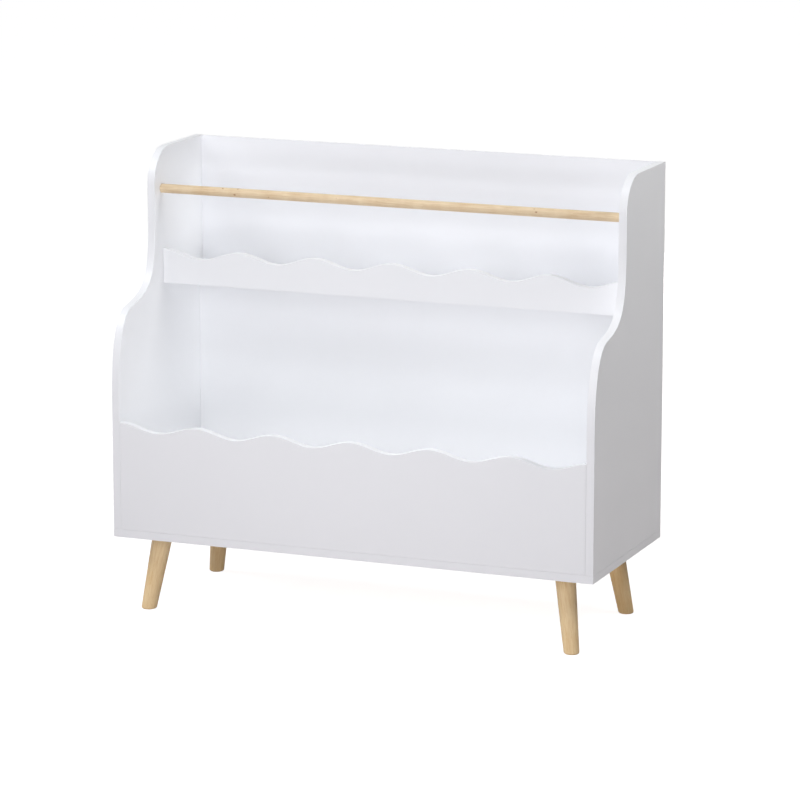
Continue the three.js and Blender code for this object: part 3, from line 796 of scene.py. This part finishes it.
def add_block(bm, low, high):
    size = Vector(high) - Vector(low)
    middle = (Vector(high) + Vector(low)) / 2
    place = Matrix.Translation(middle) @ Matrix.Diagonal((*size, 1.0))
    bmesh.ops.create_cube(bm, size=1.0, matrix=place)


def thicken(bm, way):
    """Pulls a flat sheet out into a solid, the given way and distance."""
    grown = bmesh.ops.extrude_face_region(bm, geom=list(bm.faces))
    moved = [part for part in grown["geom"] if isinstance(part, bmesh.types.BMVert)]
    bmesh.ops.translate(bm, verts=moved, vec=way)
    bmesh.ops.recalc_face_normals(bm, faces=bm.faces)


def side_front_edge(sizes):
    """The sides' front edge as (y, z) points, from the top corner down to the foot."""
    under = BASE_LOW.z
    front = BASE_LOW.y
    waist = Vector((front + sizes.waist_setback, under + sizes.waist_height))
    slope = Vector((math.cos(sizes.waist_slope), math.sin(sizes.waist_slope)))
    upper = Vector((front + sizes.upper_setback, under + sizes.upper_edge_start))
    lower = Vector((front, under + sizes.shoulder_start))
    cove = upper - waist
    shoulder = waist - lower
    cove_points = interpolate_bezier(
        upper,
        upper - Vector((0.0, cove.y * sizes.cove_rise_pull)),
        waist + slope * cove.x * sizes.cove_run_pull,
        waist,
        CURVE_STEPS,
    )
    shoulder_points = interpolate_bezier(
        waist,
        waist - slope * shoulder.x * sizes.shoulder_run_pull,
        lower + Vector((0.0, shoulder.y * sizes.shoulder_rise_pull)),
        lower,
        CURVE_STEPS,
    )
    return [*cove_points, *shoulder_points[1:]]


def side_panel(name, sizes):
    """A side: one outline, thickened and rounded along its edges."""
    low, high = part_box(f"{name}_side_panel")
    upper_front = BASE_LOW.y + sizes.upper_setback
    bm = bmesh.new()
    corners = [(high.y, low.z), (high.y, high.z), (upper_front, high.z)]
    outline = [*corners, *side_front_edge(sizes), (low.y, low.z)]
    bm.faces.new([bm.verts.new((low.x, y, z)) for y, z in outline])
    bm.verts.ensure_lookup_table()
    bmesh.ops.bevel(
        bm,
        geom=[bm.verts[corners.index(corners[-1])]],
        offset=sizes.top_corner,
        offset_type="OFFSET",
        segments=CORNER_STEPS,
        profile=0.5,
        affect="VERTICES",
        material=-1,
    )
    thicken(bm, (high.x - low.x, 0.0, 0.0))
    round_edges(bm, edges_sharper_than(bm, TURNED_CORNER), sizes.edge_round)
    return bm


def side_cutters(name, outward, sizes):
    """The groove for the back sheet, which lies against its front wall, the rail's blind hole and
    the fasteners' holes."""
    low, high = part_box(f"{name}_side_panel")
    inner = low.x if outward > 0 else high.x
    bm = bmesh.new()
    groove_end = outward * (SHEET_HIGH.x + sizes.fit)
    groove_mouth = inner - outward * OVERCUT
    add_block(
        bm,
        (min(groove_end, groove_mouth), SHEET_LOW.y, low.z - OVERCUT),
        (max(groove_end, groove_mouth), SHEET_HIGH.y + sizes.fit, high.z + OVERCUT),
    )
    socket_end = outward * (RAIL_HIGH.x + sizes.end_play)
    depth = abs(socket_end - groove_mouth)
    socket_middle = ((socket_end + groove_mouth) / 2, RAIL_MIDDLE.y, RAIL_MIDDLE.z)
    socket = Matrix.Translation(socket_middle) @ Matrix.Rotation(math.pi / 2, 4, "Y")
    add_rod(bm, RAIL_RADIUS + sizes.fit, depth, socket)
    for end in ENDS:
        add_bore(bm, f"{name}_{end}_cam_bolt", sizes.cam_bolt, sizes.fit)
        add_bore(bm, f"{name}_side_{end}_base_screw", sizes.base_screw, sizes.fit)
    for board in ("front_panel", "back_board"):
        add_bore(bm, f"{board}_{name}_dowel", sizes.dowel, sizes.fit)
    return bm


def wavy_board(low, high, rise, sizes):
    """A long board on edge whose top is a wave that starts with a crest at its left end."""
    width = high.x - low.x
    steps = math.ceil(width / sizes.wave_period * WAVE_STEPS)
    bm = bmesh.new()
    stand = Matrix.Translation(((low.x + high.x) / 2, low.y, (low.z + high.z) / 2))
    stand = stand @ Matrix.Rotation(math.pi / 2, 4, "X")
    stand = stand @ Matrix.Diagonal((width / 2, (high.z - low.z) / 2, 1.0, 1.0))
    bmesh.ops.create_grid(bm, x_segments=steps, y_segments=1, size=1.0, matrix=stand)
    middle = (low.z + high.z) / 2
    for vert in bm.verts:
        if vert.co.z > middle:
            run = vert.co.x - low.x
            vert.co.z = high.z - rise + rise * math.cos(2 * math.pi * run / sizes.wave_period)
    thicken(bm, (0.0, high.y - low.y, 0.0))
    round_edges(bm, edges_sharper_than(bm, TURNED_CORNER), sizes.edge_round)
    return bm


def tight_board(low, high, sizes):
    """A plain board on edge, rounded along its length, whose sharp ends touch the sides."""
    bm = bmesh.new()
    reach = Vector((sizes.joint_gap, 0.0, 0.0))
    add_block(bm, low - reach, high + reach)
    lengthwise = [edge for edge in bm.edges if edge.verts[0].co.x * edge.verts[1].co.x < 0]
    round_edges(bm, lengthwise, sizes.edge_round)
    return bm


def add_bored_board(name, bm, node, stem, fasteners, sizes):
    """A board between the sides, with a hole at each end for each of its kinds of fastener."""
    piece = add_piece(name, bm, white_lacquer(), "case", node)
    holes = bmesh.new()
    for side in SIDES:
        for kind in fasteners:
            add_bore(holes, f"{stem}_{side}_{kind}", getattr(sizes, kind), sizes.fit)
    carve(piece, holes)
    shade(piece)


def store_grain(piece, place):
    """Keeps where each point lies in the wood, with the grain along z, for the wood's shader."""
    back = place.inverted()
    grain = piece.data.attributes.new("grain", "FLOAT_VECTOR", "POINT")
    for vert in piece.data.vertices:
        grain.data[vert.index].vector = back @ vert.co


def leg_place(x_side, y_side, sizes):
    """Where a leg's own axis stands: its origin is the seat's middle and its z runs up the leg."""
    lean = math.sin(sizes.leg_tilt) * math.sqrt(0.5)
    down = Vector((x_side * lean, y_side * lean, -math.cos(sizes.leg_tilt)))
    across = x_side * (BASE_HIGH.x - sizes.leg_inset_x)
    along = y_side * (BASE_HIGH.y - sizes.leg_inset_y)
    top = Vector((across, along, BASE_LOW.z))
    turn = Vector((0, 0, -1)).rotation_difference(down).to_matrix().to_4x4()
    seat = top + down * (seat_drop(sizes) / math.cos(sizes.leg_tilt))
    return Matrix.Translation(seat) @ turn


def seat_drop(sizes):
    """How far the middle of a leg's seat lies under the base."""
    rim = sizes.leg_top / 2 * math.sin(sizes.leg_tilt)
    return sizes.plate_thickness + sizes.joint_gap + rim + sizes.seat_gap


def leg_mesh(place, sizes):
    """A turned, tapered leg, leaned over, cut level at the floor and rounded there."""
    length = (BASE_LOW.z - seat_drop(sizes)) / math.cos(sizes.leg_tilt)
    top_radius = sizes.leg_top / 2
    foot_radius = sizes.leg_foot / 2
    past = top_radius
    profile = [
        (0.0, -length - past),
        (foot_radius - (top_radius - foot_radius) / length * past, -length - past),
        (top_radius, -sizes.seat_gap - sizes.leg_top_edge),
        (top_radius - sizes.leg_top_edge, -sizes.seat_gap),
        (0.0, -sizes.seat_gap),
    ]
    bm = bmesh.new()
    verts = [bm.verts.new((radius, 0.0, height)) for radius, height in profile]
    edges = [bm.edges.new(pair) for pair in zip(verts, verts[1:])]
    bmesh.ops.spin(
        bm,
        geom=verts + edges,
        cent=(0, 0, 0),
        axis=(0, 0, 1),
        angle=2 * math.pi,
        steps=ROUND_STEPS,
        use_merge=True,
    )
    bmesh.ops.remove_doubles(bm, verts=bm.verts, dist=MERGE_DISTANCE)
    bmesh.ops.transform(bm, matrix=place, verts=bm.verts)
    cut = bmesh.ops.bisect_plane(
        bm,
        geom=[*bm.verts, *bm.edges, *bm.faces],
        plane_co=(0, 0, 0),
        plane_no=(0, 0, -1),
        clear_outer=True,
    )
    rim = [part for part in cut["geom_cut"] if isinstance(part, bmesh.types.BMEdge)]
    bmesh.ops.edgeloop_fill(bm, edges=rim)
    bmesh.ops.recalc_face_normals(bm, faces=bm.faces)
    round_edges(bm, rim, sizes.foot_round, steps=FOOT_STEPS)
    return bm


def hanger_hole(place, sizes):
    """The hole for the hanger bolt, down from a leg's seat."""
    depth = sizes.hanger_depth + sizes.fit
    middle = Matrix.Translation((0, 0, -sizes.seat_gap + (OVERCUT - depth) / 2))
    bm = bmesh.new()
    radius = sizes.hanger_bolt / 2 + sizes.fit
    add_rod(bm, radius, depth + OVERCUT, place @ middle, BORE_STEPS)
    return bm


def plank_stretch(x_side, y_side):
    """Where a leg lies in the plank that all four are cut from, each from another stretch."""
    along = PLANK_SIDE_STEP * x_side + PLANK_END_STEP * y_side
    return Matrix.Translation((PLANK_ACROSS * x_side, PLANK_THROUGH * y_side, along))


# Operators


class BOOKCASE_OT_sides(bpy.types.Operator):
    """Model the two sides with their shoulder, cove, back groove and rail socket"""

    bl_idname = "bookcase.sides"
    bl_label = "Sides"

    def execute(self, context):
        sizes = context.scene.bookcase_sizes
        for name, outward in SIDES.items():
            node = f"{name}_side_panel"
            bm = side_panel(name, sizes)
            piece = add_piece(f"{name}_side", bm, white_lacquer(), "case", node)
            carve(piece, side_cutters(name, outward, sizes))
            shade(piece)
        return {"FINISHED"}


class BOOKCASE_OT_wavy_boards(bpy.types.Operator):
    """Model the toy bin's wavy front and the book shelf's wavy lip"""

    bl_idname = "bookcase.wavy_boards"
    bl_label = "Wavy Front and Lip"

    def execute(self, context):
        sizes = context.scene.bookcase_sizes
        front = wavy_board(FRONT_LOW, FRONT_HIGH, sizes.front_wave, sizes)
        add_bored_board(
            "bin_front", front, "lower_front_panel", "front_panel", ("dowel", "base_screw"), sizes
        )
        lip = wavy_board(LIP_LOW, LIP_HIGH, sizes.lip_wave, sizes)
        add_bored_board("book_lip", lip, "shelf_lip", "lip", ("dowel",), sizes)
        return {"FINISHED"}


class BOOKCASE_OT_bin_back(bpy.types.Operator):
    """Model the toy bin's back board, tight between the sides"""

    bl_idname = "bookcase.bin_back"
    bl_label = "Bin Back Board"

    def execute(self, context):
        sizes = context.scene.bookcase_sizes
        board = tight_board(BIN_BACK_LOW, BIN_BACK_HIGH, sizes)
        fasteners = ("dowel", "base_screw")
        add_bored_board(
            "bin_back_board", board, "lower_back_board", "back_board", fasteners, sizes
        )
        return {"FINISHED"}


class BOOKCASE_OT_plain_boards(bpy.types.Operator):
    """Finish the other straight boards: base, book shelf and the thin back sheet"""

    bl_idname = "bookcase.plain_boards"
    bl_label = "Plain Boards"

    def execute(self, context):
        for node in ("base_panel", "upper_shelf"):
            dress(node, white_lacquer())
        finishes = context.scene.bookcase_finishes
        sheet = lacquer_material("back sheet face", finishes.back_sheet, cloud=0.03)
        dress("back_panel", sheet)
        return {"FINISHED"}


class BOOKCASE_OT_rail(bpy.types.Operator):
    """Model the round wooden rail across the books"""

    bl_idname = "bookcase.rail"
    bl_label = "Book Rail"

    def execute(self, context):
        sizes = context.scene.bookcase_sizes
        finishes = context.scene.bookcase_finishes
        place = Matrix.Translation(RAIL_MIDDLE) @ Matrix.Rotation(math.pi / 2, 4, "Y")
        bm = bmesh.new()
        add_rod(bm, RAIL_RADIUS, RAIL_HIGH.x - RAIL_LOW.x, place)
        round_edges(bm, edges_sharper_than(bm, TURNED_CORNER), sizes.rail_edge)
        material = wood_material(
            "rail wood",
            "grain",
            finishes.rail_light,
            finishes.rail_dark,
            Ring_strength=0.25,
            Fibre_strength=0.5,
            Pore_strength=0.2,
            Band_strength=0.45,
            Roughness=0.5,
        )
        add_knots(material, RAIL_KNOTS, finishes.knot)
        piece = add_piece("rail", bm, material, "book_rail", "book_rail")
        store_grain(piece, place)
        shade(piece)
        return {"FINISHED"}


class BOOKCASE_OT_legs(bpy.types.Operator):
    """Model the four splayed, tapered legs"""

    bl_idname = "bookcase.legs"
    bl_label = "Legs"

    def execute(self, context):
        sizes = context.scene.bookcase_sizes
        finishes = context.scene.bookcase_finishes
        material = wood_material(
            "leg wood",
            "grain",
            finishes.leg_light,
            finishes.leg_dark,
            Ring_strength=0.3,
            Fibre_strength=0.6,
            Pore_strength=0.4,
            Band_strength=0.3,
            Roughness=0.48,
        )
        for end, y_side in ENDS.items():
            for side, x_side in SIDES.items():
                place = leg_place(x_side, y_side, sizes)
                name = f"{end}_{side}_turned_leg"
                node = f"{end}_{side}_leg"
                bm = leg_mesh(place, sizes)
                piece = add_piece(name, bm, material, "case", node)
                carve(piece, hanger_hole(place, sizes))
                store_grain(piece, place @ plank_stretch(x_side, y_side))
                shade(piece)
        return {"FINISHED"}


class BOOKCASE_OT_fittings(bpy.types.Operator):
    """Finish the steel fittings and the wooden dowels"""

    bl_idname = "bookcase.fittings"
    bl_label = "Fittings"

    def execute(self, context):
        finishes = context.scene.bookcase_finishes
        beech = wood_material(
            "dowel wood",
            "object",
            finishes.dowel_wood,
            finishes.leg_dark,
            Fibre_strength=0.4,
            Roughness=0.65,
        )
        finish_of = {"zinc_steel": zinc_plate(), "dowel_wood": beech}
        for part in frame["record"]["subparts"]:
            if part["material_slot"] in finish_of:
                dress(part["node"], finish_of[part["material_slot"]])
        return {"FINISHED"}


class BOOKCASE_OT_studio(bpy.types.Operator):
    """Make the pale floor, the soft lamps and the camera"""

    bl_idname = "bookcase.studio"
    bl_label = "Studio"

    def execute(self, context):
        scene = context.scene
        studio = scene.bookcase_studio
        add_floor(studio)
        light_world(scene, studio)
        for name, softbox in SOFTBOXES.items():
            add_softbox(name, softbox, studio.lamp_share)
        add_camera(scene, studio)
        scene.view_settings.view_transform = "Standard"
        return {"FINISHED"}


# Studio


def seen_rays(tree):
    """1 for rays that show what the camera, a mirror or glass sees, 0 for those that light."""
    path = tree.nodes.new("ShaderNodeLightPath")
    seen = add(tree, path.outputs["Is Camera Ray"], path.outputs["Is Glossy Ray"])
    return add(tree, seen, path.outputs["Is Transmission Ray"], clamp=True)


def add_floor(studio):
    bm = bmesh.new()
    bmesh.ops.create_grid(bm, x_segments=1, y_segments=1, size=FLOOR_HALF)
    mesh = bpy.data.meshes.new("floor")
    bm.to_mesh(mesh)
    bm.free()
    material = bpy.data.materials.new("pale floor")
    material.use_nodes = True
    tree = material.node_tree
    shader = tree.nodes["Principled BSDF"]
    shader.inputs["Base Color"].default_value = opaque(studio.floor)
    shader.inputs["Roughness"].default_value = 1.0
    shader.inputs["Specular IOR Level"].default_value = 0.0
    shader.inputs["Emission Color"].default_value = opaque(WHITE)
    coordinates = tree.nodes.new("ShaderNodeTexCoord")
    reach = length_of(tree, coordinates.outputs["Object"])
    white = remap(tree, reach, (GLOW_START, studio.clear_floor), studio.floor_glow, 1.0)
    join(tree, multiply(tree, seen_rays(tree), white), shader.inputs["Emission Strength"])
    mesh.materials.append(material)
    floor = bpy.data.objects.new("floor", mesh)
    bpy.context.scene.collection.objects.link(floor)


def light_world(scene, studio):
    world = bpy.data.worlds.new("studio")
    world.use_nodes = True
    tree = world.node_tree
    background = tree.nodes["Background"]
    background.inputs["Color"].default_value = opaque(WHITE)
    strength = remap(tree, seen_rays(tree), (0.0, 1.0), studio.ambient, 1.0)
    join(tree, strength, background.inputs["Strength"])
    scene.world = world


def add_softbox(name, softbox, lamp_share):
    data = bpy.data.lights.new(name, "AREA")
    data.shape = "RECTANGLE"
    data.size = softbox.width
    data.size_y = softbox.height
    data.energy = softbox.watts * lamp_share
    data.color = softbox.colour
    lamp = bpy.data.objects.new(name, data)
    lamp.location = softbox.place
    facing = Vector(softbox.way) if softbox.way else LOOK_AT - Vector(softbox.place)
    lamp.rotation_euler = facing.to_track_quat("-Z", "Y").to_euler()
    lamp.visible_camera = False
    bpy.context.scene.collection.objects.link(lamp)


def add_camera(scene, studio):
    data = bpy.data.cameras.new("camera")
    data.sensor_width = SENSOR_WIDTH
    data.lens = studio.focal_length
    data.clip_end = VIEW_DISTANCE
    camera = bpy.data.objects.new("camera", data)
    camera.location = studio.camera_place
    camera.rotation_euler = (math.pi / 2 - studio.camera_dip, 0.0, studio.camera_turn)
    scene.collection.objects.link(camera)
    scene.camera = camera


class BOOKCASE_PT_panel(bpy.types.Panel):
    """Lists what the bookcase is made from"""

    bl_idname = "BOOKCASE_PT_panel"
    bl_label = "Toy Storage Bookcase"
    bl_space_type = "VIEW_3D"
    bl_region_type = "UI"
    bl_category = "Bookcase"

    def draw(self, context):
        column = self.layout.column(align=True)
        for operator in OPERATORS:
            column.operator(operator.bl_idname)
        for group in (
            context.scene.bookcase_sizes,
            context.scene.bookcase_finishes,
            context.scene.bookcase_studio,
        ):
            box = self.layout.box()
            for name in group.__annotations__:
                box.prop(group, name)


OPERATORS = (
    BOOKCASE_OT_sides,
    BOOKCASE_OT_wavy_boards,
    BOOKCASE_OT_bin_back,
    BOOKCASE_OT_plain_boards,
    BOOKCASE_OT_rail,
    BOOKCASE_OT_legs,
    BOOKCASE_OT_fittings,
    BOOKCASE_OT_studio,
)
SETTINGS = {
    "bookcase_sizes": BookcaseSizes,
    "bookcase_finishes": BookcaseFinishes,
    "bookcase_studio": StudioSettings,
}
CLASSES = (*SETTINGS.values(), *OPERATORS, BOOKCASE_PT_panel)


def register():
    for cls in CLASSES:
        bpy.utils.register_class(cls)
    for name, group in SETTINGS.items():
        setattr(bpy.types.Scene, name, PointerProperty(type=group))


def unregister():
    for name in SETTINGS:
        delattr(bpy.types.Scene, name)
    for cls in reversed(CLASSES):
        bpy.utils.unregister_class(cls)


def main():
    register()
    bpy.ops.bookcase.sides()
    bpy.ops.bookcase.wavy_boards()
    bpy.ops.bookcase.bin_back()
    bpy.ops.bookcase.plain_boards()
    bpy.ops.bookcase.rail()
    bpy.ops.bookcase.legs()
    bpy.ops.bookcase.fittings()
    bpy.ops.bookcase.studio()


if __name__ == "__main__":
    main()
